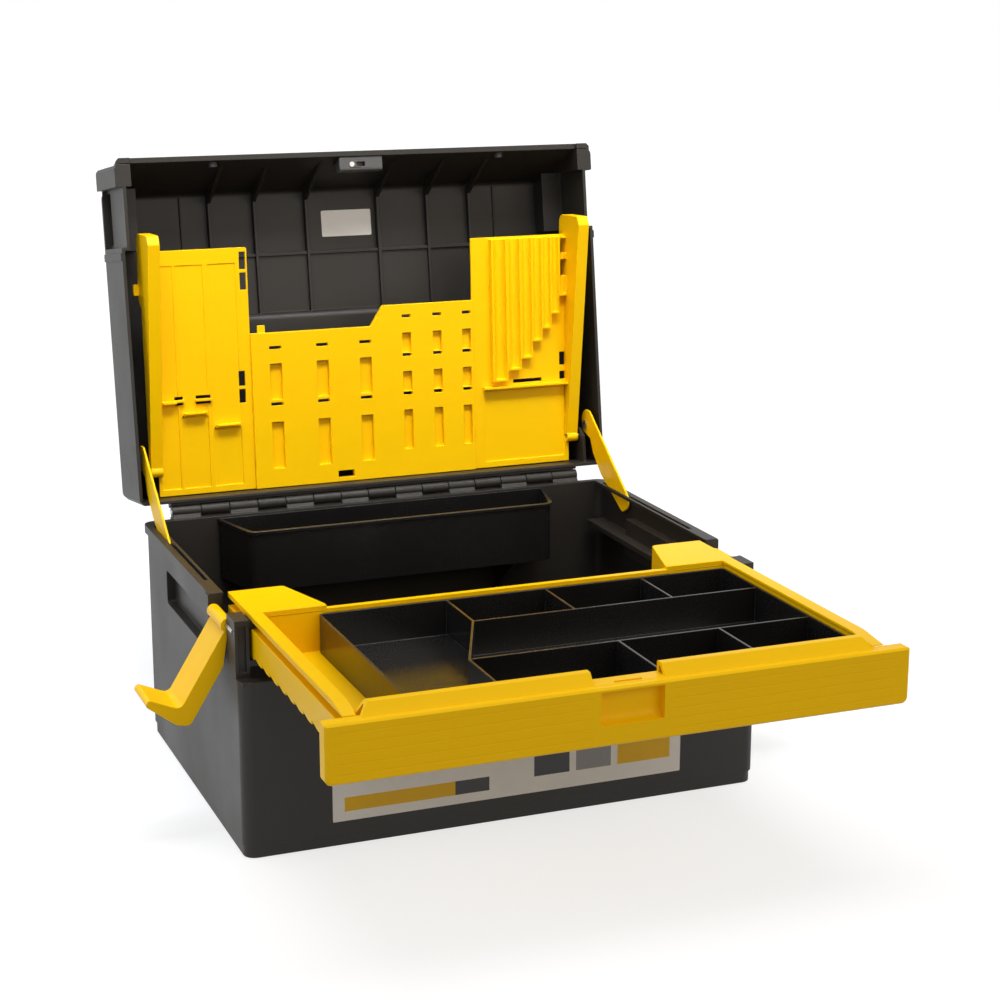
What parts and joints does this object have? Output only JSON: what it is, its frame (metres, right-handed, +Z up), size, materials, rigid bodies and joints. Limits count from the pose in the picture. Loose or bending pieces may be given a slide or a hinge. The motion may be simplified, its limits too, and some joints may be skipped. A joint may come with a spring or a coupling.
{
  "type": "tool box",
  "caption": "Open plastic tool box with a deep tub, a hinged lid with a fold-out tool organiser, a slide-out drawer with a compartment insert, and swing-out side latches.",
  "frame": {"origin": "middle of the tub's underside, on the floor", "axes": "+X to the right seen from the drawer side, +Y from the drawer side to the hinge side, +Z up"},
  "size_m": [0.588, 0.6872, 0.5212],
  "materials": {
    "black_body": "fine moulded grain, satin",
    "black_tray": "smooth moulded, half gloss",
    "yellow_body": "fine moulded grain, satin",
    "grey_catch": "satin",
    "steel_pin": "drawn wire",
    "rubber_buffer": "matt"
  },
  "bodies": {
    "base": {"tub": "black_body", "rear_tray": "black_tray", "hinge_pin": "steel_pin", "latch_pins": "steel_pin"},
    "lid": {"lid_shell": "black_body", "centre_catch": "grey_catch", "catch_rivet": "steel_pin", "lid_buffers": "rubber_buffer", "stay_pins": "steel_pin", "panel_pins": "steel_pin", "handle_pins": "steel_pin"},
    "organiser": {"organiser_panel": "yellow_body"},
    "stay_left_arm": {"stay_left": "yellow_body"},
    "stay_right_arm": {"stay_right": "yellow_body"},
    "left_latch": {"latch_left": "yellow_body"},
    "right_latch": {"latch_right": "yellow_body"},
    "drawer": {"drawer_frame": "yellow_body", "drawer_front": "yellow_body", "drawer_insert": "black_tray"},
    "handle": {"carry_handle": "black_body"}
  },
  "joints": [
    {"name": "lid_hinge", "type": "hinge", "parent": "base", "child": "lid", "pos_m": [0, 0.168, 0.203], "axis": [1, 0, 0], "range_deg": [0, 98.4]},
    {"name": "organiser_swing", "type": "hinge", "parent": "lid", "child": "organiser", "pos_m": [0, 0.194, 0.23522], "axis": [-1, 0, 0], "range_deg": [0, 9.5]},
    {"name": "stay_left_swing", "type": "hinge", "parent": "lid", "child": "stay_left_arm", "pos_m": [-0.2222, 0.18872, 0.24745], "axis": [-1, 0, 0], "range_deg": [0, 119.8]},
    {"name": "stay_right_swing", "type": "hinge", "parent": "lid", "child": "stay_right_arm", "pos_m": [0.2222, 0.18872, 0.24745], "axis": [-1, 0, 0], "range_deg": [0, 119.8]},
    {"name": "drawer_slide", "type": "slide", "parent": "base", "child": "drawer", "axis": [0, 1, 0], "range_m": [0, 0.228]},
    {"name": "latch_left_swing", "type": "hinge", "parent": "base", "child": "left_latch", "pos_m": [-0.227, -0.1025, 0.184], "axis": [0, 1, 0], "range_deg": [0, 112]},
    {"name": "latch_right_swing", "type": "hinge", "parent": "base", "child": "right_latch", "pos_m": [0.227, -0.1025, 0.184], "axis": [0, -1, 0], "range_deg": [0, 112]},
    {"name": "handle_swing", "type": "hinge", "parent": "lid", "child": "handle", "pos_m": [0, 0.2668, 0.31072], "axis": [-1, 0, 0], "range_deg": [0, 90]}
  ],
  "couplings": [
    {"joint": "organiser_swing", "follows": "lid_hinge", "ratio": 0.0965},
    {"joint": "stay_left_swing", "follows": "lid_hinge", "ratio": 1.2165},
    {"joint": "stay_right_swing", "follows": "lid_hinge", "ratio": 1.2165}
  ]
}
